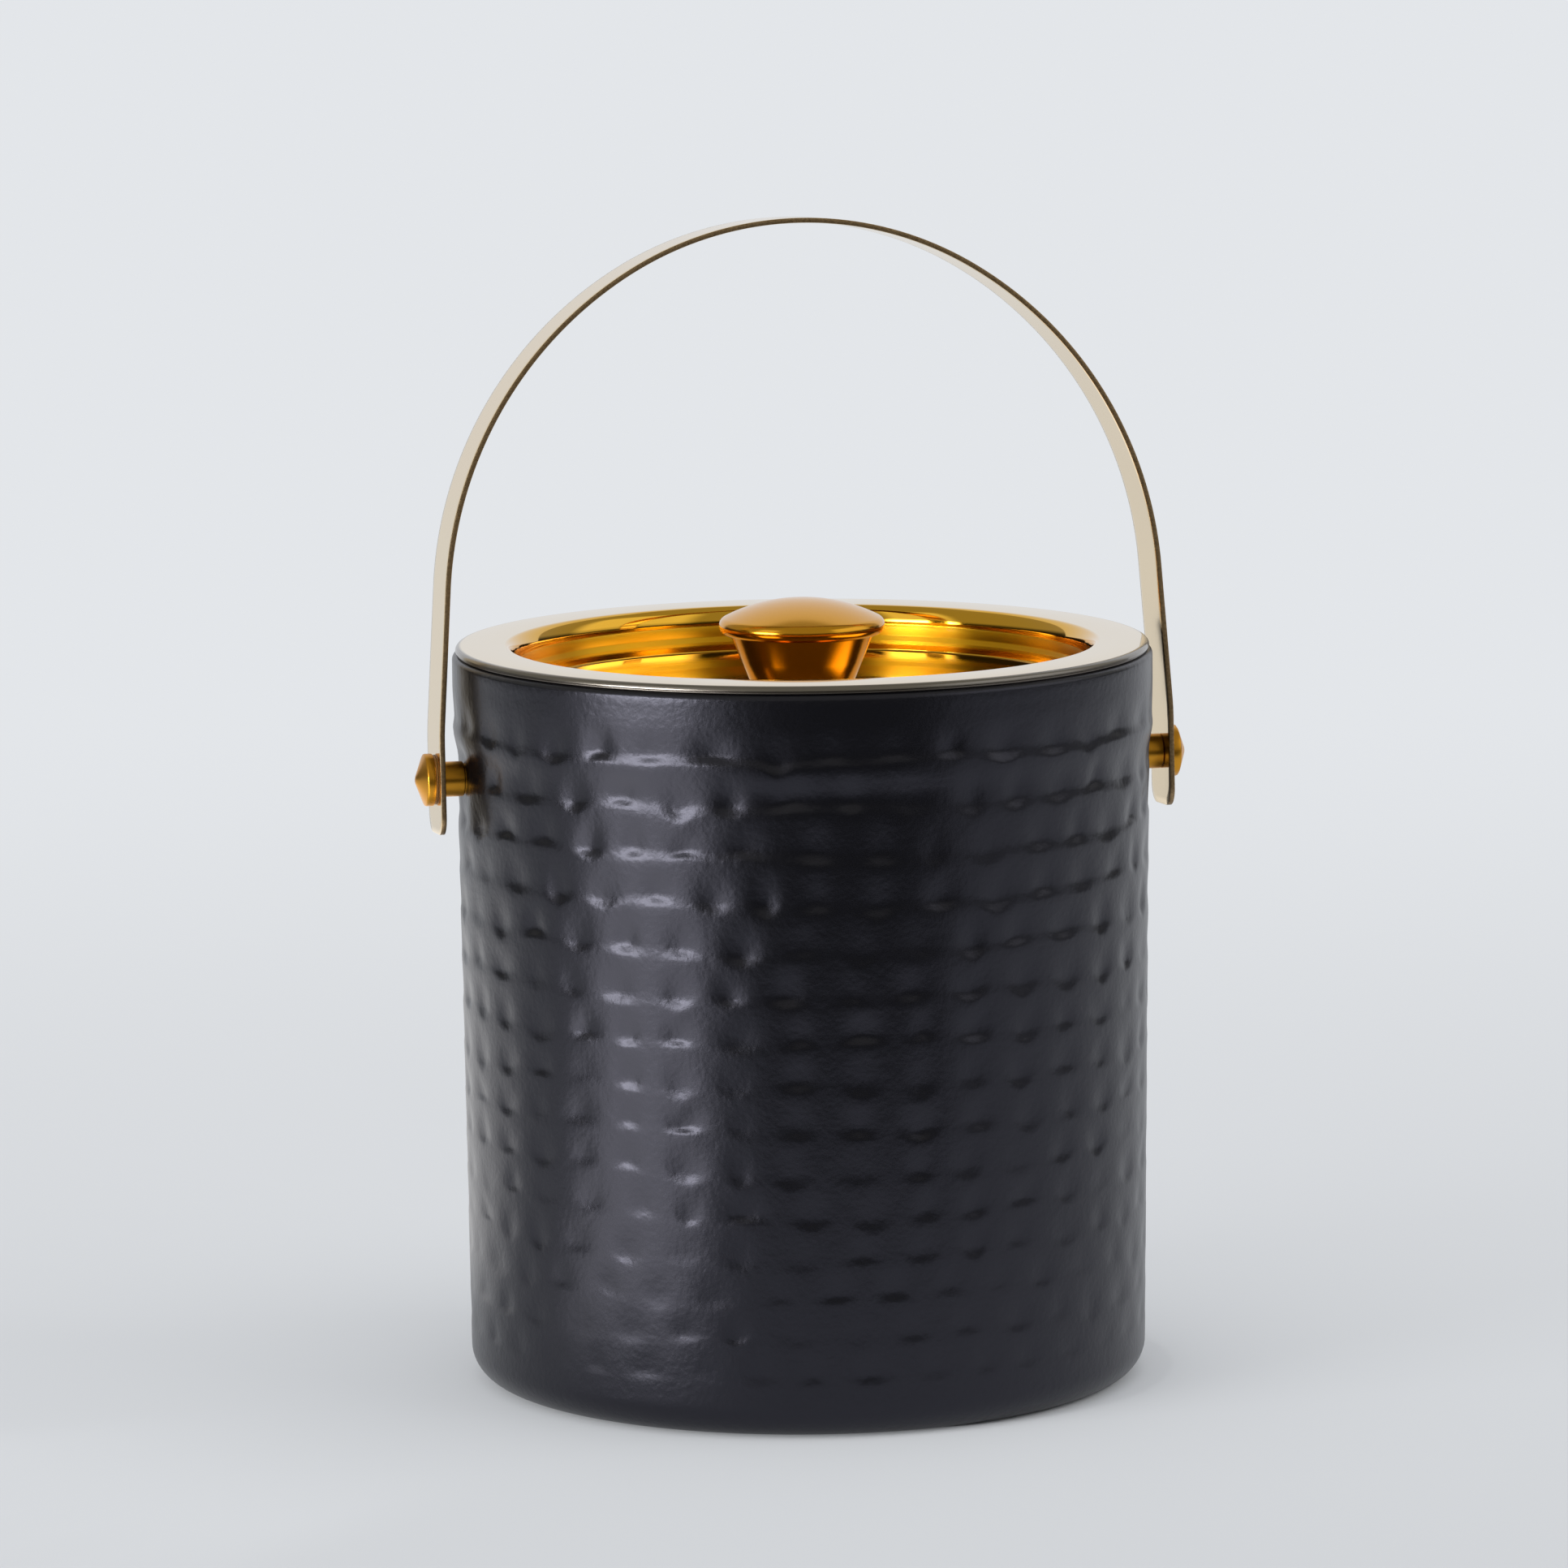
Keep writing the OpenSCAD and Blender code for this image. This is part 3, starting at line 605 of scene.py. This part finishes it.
for side_name, side in (("left", -1), ("right", 1)):
    add_piece(
        f"{side_name}_post", *ring_faces(on_pivot(turn(post_profile, 96), side), closed=True),
        [brass], "bucket", "satin_gold", f"{side_name}_pivot_post",
    )
    add_piece(
        f"{side_name}_cone_screw", *ring_faces(on_pivot(turn(head_profile, 128), side), True, True),
        [brass], "bucket", "satin_gold", f"{side_name}_cap_screw", sharp=50,
    )

# Moulded nylon, gone amber, with a dull skin and a grain of 0.3 mm.
nylon, tree, shader = new_material("moulded_nylon", Base_Color=linear("#8A5E1E"), Roughness=0.4)
place = add_node(tree, "ShaderNodeTexCoord").outputs["Object"]
grain = add_node(tree, "ShaderNodeTexNoise", {"Vector": place, "Scale": 1 / 0.0003})
grain_bump = add_node(
    tree, "ShaderNodeBump", {"Height": grain.outputs["Fac"], "Strength": 0.5, "Distance": 0.00001}
)
tree.links.new(grain_bump.outputs["Normal"], shader.inputs["Normal"])
dress(nylon, "left_friction_washer", "right_friction_washer")

# ---- Bail ----
# A strip of steel sheared to length, punched at both ends, bent over a former to an arch with a
# flatter crown, and plated champagne gold. Its faces are bright; the sheared edges stay brown.
strap_w, strap_t = 16.0, 1.1
half_span, upright_h, foot_bend_r = 79.7, 8.0, 60.0
leg_splay, crown_angle = np.radians(3.9), np.radians(59.5)
leg_top_h, flank_r, lean = 40.8, 83.1, np.radians(3.4)
end_l, end_corner, hole_r = 11.5, 4.0, 2.3
leg_l = (leg_top_h - upright_h - foot_bend_r * np.sin(leg_splay)) / np.cos(leg_splay)
leg_top_x = half_span - foot_bend_r * (1 - np.cos(leg_splay)) - leg_l * np.sin(leg_splay)
flank_x = leg_top_x - flank_r * np.cos(leg_splay)
crown_r = flank_r + flank_x / np.cos(crown_angle)
lengths = [
    upright_h,
    foot_bend_r * leg_splay,
    leg_l,
    flank_r * (crown_angle - leg_splay),
    crown_r * (np.pi / 2 - crown_angle),
]
turns = [0, 0, leg_splay, leg_splay, crown_angle, np.pi / 2]
half_length = sum(lengths)


def centre_line(s):
    """Point (x, h) of the strap's middle at length s from the right pivot to the left one. The
    right half runs at the angle from upright that turns gives at each length, and x and h are
    the sums of -sin and cos of it; the left half mirrors it, and both ends run on straight."""
    fine = np.linspace(0, half_length, 4001)
    angle = np.interp(fine, np.cumsum([0, *lengths]), turns)
    middle = (angle[1:] + angle[:-1]) / 2
    step = fine[1]
    x = half_span - np.concatenate([[0], np.cumsum(np.sin(middle) * step)])
    h = np.concatenate([[0], np.cumsum(np.cos(middle) * step)])
    near = np.where(s > half_length, 2 * half_length - s, s)
    flip = np.where(s > half_length, -1, 1)
    return flip * np.interp(near, fine, x - x[-1] * fine / half_length), np.where(
        near < 0, near, np.interp(near, fine, h)
    )


def grid_faces(rows, columns):
    """Faces of a grid of points, rows by columns: each joins a point to the next in its row, in
    the next row, and in both."""
    index = np.arange(rows * columns).reshape(rows, columns)
    corners = [index[:-1, :-1], index[1:, :-1], index[1:, 1:], index[:-1, 1:]]
    return np.stack(corners, -1).reshape(-1, 4).tolist()


# The flat strip, as (s, w): a plain grid between the uprights' tops, and at each end rounds of
# points that go from the punched hole out to the strip's outline.
strips, stations, rounds = 10, 150, 5
across = np.linspace(-strap_w / 2, strap_w / 2, strips + 1)
along = np.linspace(upright_h, 2 * half_length - upright_h, stations + 1)
flat_points = [np.stack(np.meshgrid(along, across, indexing="ij"), -1).reshape(-1, 2)]
flat_faces = grid_faces(stations + 1, strips + 1)
corner = arc(strap_w / 2 - end_corner, end_corner - end_l, end_corner, 0, -90, 8)
side_s = np.linspace(upright_h, end_corner - end_l, 8)[1:-1]
side_edge = np.stack([strap_w / 2 + 0 * side_s, side_s], 1)
bottom = np.array([[2.0, -end_l], [-2.0, -end_l]])
outline = np.vstack(
    [
        np.stack([across, np.full(strips + 1, upright_h)], 1),
        side_edge,
        corner,
        bottom,
        (corner * [-1, 1])[::-1],
        (side_edge * [-1, 1])[::-1],
    ]
)
hole = hole_r * outline / np.hypot(*outline.T)[:, None]
patch = hole + (outline - hole) * np.linspace(0, 1, rounds + 1)[:, None, None]
for turn_over in (1, -1):
    s = patch[..., 1] if turn_over > 0 else 2 * half_length - patch[..., 1]
    start = sum(len(p) for p in flat_points)
    flat_points.append(np.stack([s, turn_over * patch[..., 0]], -1).reshape(-1, 2))
    index = start + np.arange(patch[..., 0].size).reshape(rounds + 1, -1)
    lower, upper = index[:-1], index[1:]
    quads = np.stack([lower, upper, np.roll(upper, -1, 1), np.roll(lower, -1, 1)], -1)
    flat_faces += quads.reshape(-1, 4).tolist()

# The strip is bent along the centre line, and the whole bail leans back about the pivots.
s, w = np.vstack(flat_points).T
x, h = centre_line(s)
strap_points = np.stack(
    [x, w * np.cos(lean) + h * np.sin(lean), pivot_z + h * np.cos(lean) - w * np.sin(lean)], -1
)

# Champagne gold plate over rolled strip: a bright face with drawing lines along it, 0.4 mm apart.
champagne, tree, shader = new_material(
    "champagne_gold_plate", Base_Color=linear("#E6CFA6"), Metallic=1.0, Roughness=0.1
)
place = add_node(tree, "ShaderNodeTexCoord").outputs["Object"]
stretched = add_node(
    tree, "ShaderNodeMapping", {"Vector": place, "Scale": (1 / 0.03, 1 / 0.0004, 1 / 0.03)}
)
drawn = add_node(
    tree, "ShaderNodeTexNoise", {"Vector": stretched.outputs["Vector"], "Scale": 1.0, "Detail": 2.0}
)
drawn_bump = add_node(
    tree, "ShaderNodeBump", {"Height": drawn.outputs["Fac"], "Strength": 1.0, "Distance": 0.000002}
)
tree.links.new(drawn_bump.outputs["Normal"], shader.inputs["Normal"])

# The sheared edge: torn steel under thin plate, brown to straw, broken up every 0.5 mm.
sheared, tree, shader = new_material("sheared_steel_edge", Metallic=1.0, Roughness=0.42)
place = add_node(tree, "ShaderNodeTexCoord").outputs["Object"]
torn = add_node(tree, "ShaderNodeTexNoise", {"Vector": place, "Scale": 1 / 0.0005, "Detail": 3.0})
stain = add_node(
    tree, "ShaderNodeMix",
    {0: torn.outputs["Fac"], 6: linear("#5E4A36"), 7: linear("#BCA078")}, data_type="RGBA",
)
tree.links.new(stain.outputs[2], shader.inputs["Base Color"])
torn_bump = add_node(
    tree, "ShaderNodeBump", {"Height": torn.outputs["Fac"], "Strength": 0.8, "Distance": 0.00004}
)
tree.links.new(torn_bump.outputs["Normal"], shader.inputs["Normal"])

strap = add_piece(
    "strap_bail", strap_points, flat_faces, [champagne, sheared],
    "bail", "champagne", "bail_strap",
)

# The grid and the end patches are welded into one sheet, which gets its thickness and edges
# rounded by 0.15 mm.
weld = strap.modifiers.new("weld", "WELD")
weld.merge_threshold = 0.00001
thicken = strap.modifiers.new("thickness", "SOLIDIFY")
thicken.thickness, thicken.offset, thicken.material_offset_rim = strap_t / 1000, 0, 1
round_off = strap.modifiers.new("edges", "BEVEL")
round_off.width, round_off.segments, round_off.limit_method = 0.00015, 2, "ANGLE"
round_off.angle_limit = np.radians(60)
shaped = strap.evaluated_get(bpy.context.evaluated_depsgraph_get())
finished = bpy.data.meshes.new_from_object(shaped)
strap.modifiers.clear()
strap.data = finished
finished.shade_smooth()
finished.set_sharp_from_angle(angle=np.radians(30))

# ---- Studio ----
# A pale paper sweep under and behind the bucket, a tall softbox at the front left, a weaker one
# at the right, and a dim room round the camera, all mirrored by the metal and the lacquer. Room
# and softboxes show one light where they are first mirrored and another in what is mirrored again.
view_azimuth, view_pitch, view_roll = np.radians([12.1, 8.3, 0.55])
aim_right, aim_up = np.radians([0.123, 0.978])
view_distance, lens_mm = 1.8, 192.9
right_hand = np.array([np.cos(view_azimuth), -np.sin(view_azimuth), 0])
front = np.array([-np.sin(view_azimuth), -np.cos(view_azimuth), 0])
forward = -front * np.cos(view_pitch) - np.sin(view_pitch) * np.array([0, 0, 1])
level_up = np.cross(right_hand, forward)
rolled = np.cos(view_roll) * right_hand - np.sin(view_roll) * level_up
upward = np.sin(view_roll) * right_hand + np.cos(view_roll) * level_up
ray = forward + np.tan(aim_right) * rolled + np.tan(aim_up) * upward
camera_place = np.array([0, 0, lid_top / 1000]) - view_distance * ray / np.linalg.norm(ray)
camera_data = bpy.data.cameras.new("camera")
camera_data.sensor_width, camera_data.lens = 36.0, lens_mm
camera_data.clip_start, camera_data.clip_end = 0.1, 60.0
camera = bpy.data.objects.new("camera", camera_data)
bpy.context.scene.collection.objects.link(camera)
bpy.context.scene.camera = camera
turned = np.eye(4)
turned[:3, 0], turned[:3, 1], turned[:3, 2], turned[:3, 3] = rolled, upward, -forward, camera_place
camera.matrix_world = Matrix(turned)


def stage_piece(name, points, faces, material, in_view=False, lights=True):
    """Adds something of the studio, in metres, that isn't part of the object. Unless it is in
    view, only reflections show it, and it gives light to matt things only if it lights."""
    mesh = bpy.data.meshes.new(name)
    mesh.from_pydata(np.asarray(points).tolist(), [], faces)
    mesh.materials.append(material)
    made = bpy.data.objects.new(name, mesh)
    bpy.context.scene.collection.objects.link(made)
    made.visible_camera = made.visible_shadow = in_view
    made.visible_diffuse = lights
    return made


def glowing(name, colour, strength, cover=None):
    """A material that only gives off light. Strength is a function of its tree, giving a socket;
    where cover, the same, is under 1 the glow turns clear."""
    material = bpy.data.materials.new(name)
    material.use_nodes = True
    tree = material.node_tree
    tree.nodes.clear()
    surface = add_node(
        tree, "ShaderNodeEmission", {"Color": linear(colour), "Strength": strength(tree)}
    ).outputs["Emission"]
    if cover:
        clear = add_node(tree, "ShaderNodeBsdfTransparent").outputs["BSDF"]
        surface = add_node(
            tree, "ShaderNodeMixShader", {0: cover(tree), 1: clear, 2: surface}
        ).outputs["Shader"]
    add_node(tree, "ShaderNodeOutputMaterial", {"Surface": surface})
    return material


def sweep_light(tree):
    """Radiance of the far sweep: it grows with the distance behind the bucket."""
    place = add_node(tree, "ShaderNodeTexCoord").outputs["Object"]
    behind = add_node(
        tree, "ShaderNodeMapping", {"Vector": place, "Rotation": (0, 0, float(view_azimuth))}
    ).outputs["Vector"]
    depth = add_node(tree, "ShaderNodeSeparateXYZ", {"Vector": behind}).outputs["Y"]
    return add_node(
        tree, "ShaderNodeMapRange",
        {"Value": depth, "From Min": -0.7, "From Max": 1.1, "To Min": 0.6, "To Max": 0.82},
        interpolation_type="SMOOTHSTEP",
    ).outputs["Result"]


# Matt white paper. Away from the bucket lamps of its own light it evenly; the soft shade left
# round the foot lies 14 mm to the right.
paper, tree, shader = new_material("matt_white_paper", Base_Color=linear("#DCDEE0"), Roughness=0.95)
place = add_node(tree, "ShaderNodeTexCoord").outputs["Object"]
shifted = add_node(
    tree, "ShaderNodeMapping", {"Vector": place, "Location": (-0.014, 0, 0)}
).outputs["Vector"]
reach = add_node(tree, "ShaderNodeVectorMath", {0: shifted}, operation="LENGTH").outputs["Value"]
away = add_node(tree, "ShaderNodeMapRange", {"Value": reach, "From Min": 0.065, "From Max": 0.6})
far = add_node(tree, "ShaderNodeMath", {0: away.outputs["Result"], 1: 0.3}, operation="POWER")
lamps = add_node(
    tree, "ShaderNodeEmission", {"Color": linear("#F8FBFF"), "Strength": sweep_light(tree)}
)
both = add_node(
    tree, "ShaderNodeMixShader",
    {0: far.outputs[0], 1: shader.outputs["BSDF"], 2: lamps.outputs["Emission"]},
)
tree.links.new(both.outputs["Shader"], tree.nodes["Material Output"].inputs["Surface"])
floor_profile = np.array([[0.3, 0.0], [1.5, 0.0], [40.0, 0.0]])
floor_points, floor_faces = ring_faces(turn(floor_profile, 64), True)
stage_piece("floor", floor_points, [face[::-1] for face in floor_faces], paper, in_view=True)


def first_mirrored(tree):
    """1 for a ray mirrored once on its way to the camera, otherwise 0."""
    path = add_node(tree, "ShaderNodeLightPath")
    once = add_node(
        tree, "ShaderNodeMath", {0: path.outputs["Ray Depth"], 1: 1.5}, operation="LESS_THAN"
    )
    return add_node(
        tree, "ShaderNodeMath", {0: once.outputs[0], 1: path.outputs["Is Glossy Ray"]},
        operation="MULTIPLY",
    ).outputs[0]


def room_light(tree):
    """Radiance of the room: dark near the horizon and grey overhead, and brighter from lower down
    where it is first mirrored."""
    place = add_node(tree, "ShaderNodeTexCoord").outputs["Object"]
    height = add_node(tree, "ShaderNodeSeparateXYZ", {"Vector": place}).outputs["Z"]
    further = add_node(
        tree, "ShaderNodeMapRange",
        {"Value": height, "From Min": 1.5, "From Max": 2.3, "To Min": 0.02, "To Max": 0.1},
    ).outputs["Result"]
    nearer = add_node(
        tree, "ShaderNodeMapRange",
        {"Value": height, "From Min": 0.36, "From Max": 0.62, "To Min": 0.03, "To Max": 0.37},
    ).outputs["Result"]
    once = first_mirrored(tree)
    return add_node(
        tree, "ShaderNodeMapRange", {"Value": once, "To Min": further, "To Max": nearer}
    ).outputs["Result"]


dim_room = glowing("dim_room", "#FFFBE8", room_light)
room_r = 2.5


def outward(azimuths, elevations):
    """Unit directions from the bucket: azimuth 0 is the camera's side, positive to its right."""
    a, e = np.radians(np.broadcast_arrays(azimuths, elevations))
    level = np.cos(a)[..., None] * front + np.sin(a)[..., None] * right_hand
    return np.cos(e)[..., None] * level + np.sin(e)[..., None] * [0, 0, 1]


for name, azimuths, elevations in (
    ("room_front", np.linspace(-135, 135, 37), np.linspace(0, 57, 9)),
    ("room_top", np.linspace(-180, 180, 49), np.linspace(57, 90, 6)),
):
    points = room_r * outward(azimuths[:, None], elevations).reshape(-1, 3)
    stage_piece(name, points, grid_faces(len(azimuths), len(elevations)), dim_room, lights=False)


def soft_sides(tree):
    """Cover of a sheet with soft edges: (1 - s(|x|)) (1 - s(|y|)), where s is the smooth step from
    0.6 to 1 and x, y are the place values held by its mesh."""
    place = add_node(tree, "ShaderNodeAttribute", attribute_name="place").outputs["Vector"]
    from_middle = add_node(tree, "ShaderNodeVectorMath", {0: place}, operation="ABSOLUTE")
    parts = add_node(tree, "ShaderNodeSeparateXYZ", {"Vector": from_middle.outputs["Vector"]})
    fade = {"From Min": 0.6, "From Max": 1.0, "To Min": 1.0, "To Max": 0.0}
    fades = [
        add_node(
            tree, "ShaderNodeMapRange", {"Value": parts.outputs[axis], **fade},
            interpolation_type="SMOOTHSTEP",
        ).outputs[0]
        for axis in ("X", "Y")
    ]
    return add_node(
        tree, "ShaderNodeMath", {0: fades[0], 1: fades[1]}, operation="MULTIPLY"
    ).outputs[0]


def mark_places(thing, outwards, sideways):
    """Stores x = sideways and y = outwards at the points of a grid, as the place values."""
    y, x = np.meshgrid(outwards, sideways, indexing="ij")
    values = np.stack([x, y, 0 * x], -1).reshape(-1)
    thing.data.attributes.new("place", "FLOAT_VECTOR", "POINT").data.foreach_set("vector", values)


def floor_glow(name, colour, strength, azimuths, reaches, places):
    """A sector of floor, seen only in reflections, that glows with the strength given."""
    points = np.array(reaches)[:, None, None] * outward(azimuths, 0.0) + [0, 0, 0.001]
    material = glowing(name, colour, lambda tree: strength, soft_sides)
    sector = stage_piece(
        name, points.reshape(-1, 3), grid_faces(len(reaches), len(azimuths)), material, lights=False
    )
    mark_places(sector, places, np.linspace(-1, 1, len(azimuths)))


# A dark stand lies beyond the front edge of the sweep; the paper shines before the tall softbox,
# and less behind the bucket. Each sector fades in over its first stretch, and the two lit ones
# fade out again over their last.
fade_both_ends = [1.0, 0.6, 0.6, 1.0]
floor_glow(
    "dark_stand", "#FFFBE8", 0.004, np.linspace(-30, 54, 13), [0.28, 0.52, 1.0, 3.0],
    [1.0, 0.6, 0.0, 0.0],
)
floor_glow(
    "lit_paper", "#FFFFFF", 2.7, np.linspace(-76, -28, 9), [0.11, 0.2, 1.0, 1.29], fade_both_ends
)
floor_glow(
    "lit_back", "#FFFFFF", 1.2, np.linspace(-170, -100, 9), [0.1, 0.2, 0.45, 0.75], fade_both_ends
)

even_shine, shine_top, even_from = 0.95, 0.25, 0.42
edges_and_middle = [-1.0, 0.0, 1.0]


def softbox(name, azimuth, distance, width, low, high, radiance, shine):
    """A sheet of light with soft edges that faces the bucket, sizes in metres. Mirrored once, it
    shows shine times its radiance up to shine_top, and from even_from an even white that keeps
    the colour of gold."""

    def light(tree):
        place = add_node(tree, "ShaderNodeTexCoord").outputs["Object"]
        height = add_node(tree, "ShaderNodeSeparateXYZ", {"Vector": place}).outputs["Z"]
        heights = {"From Min": shine_top, "From Max": even_from}
        levels = {"To Min": radiance * shine, "To Max": even_shine}
        mirrored = add_node(
            tree, "ShaderNodeMapRange", {"Value": height, **heights, **levels}
        ).outputs["Result"]
        once = first_mirrored(tree)
        return add_node(
            tree, "ShaderNodeMapRange", {"Value": once, "To Min": radiance, "To Max": mirrored}
        ).outputs["Result"]

    v, u = np.meshgrid(edges_and_middle, edges_and_middle, indexing="ij")
    height = (low + high) / 2 + v * (high - low) / 2
    level = distance * outward(azimuth, 0.0) + u[..., None] * outward(azimuth + 90, 0.0) * width / 2
    points = level + height[..., None] * [0, 0, 1]
    material = glowing(f"{name}_light", "#FFFFFF", light, soft_sides)
    sheet = stage_piece(name, points.reshape(-1, 3), grid_faces(3, 3), material)
    mark_places(sheet, edges_and_middle, edges_and_middle)


softbox("key_softbox", -52, distance=1.3, width=0.86, low=0.0, high=1.6, radiance=3.6, shine=7.0)
softbox("fill_softbox", 77, distance=1.5, width=2.1, low=0.25, high=1.8, radiance=2.9, shine=1.0)

world = bpy.data.worlds.new("studio")
bpy.context.scene.world = world
world.use_nodes = True
backdrop = world.node_tree.nodes["Background"]
backdrop.inputs["Color"].default_value = linear("#E4E6EA")
backdrop.inputs["Strength"].default_value = 1.0
bpy.context.scene.view_settings.view_transform = "Standard"
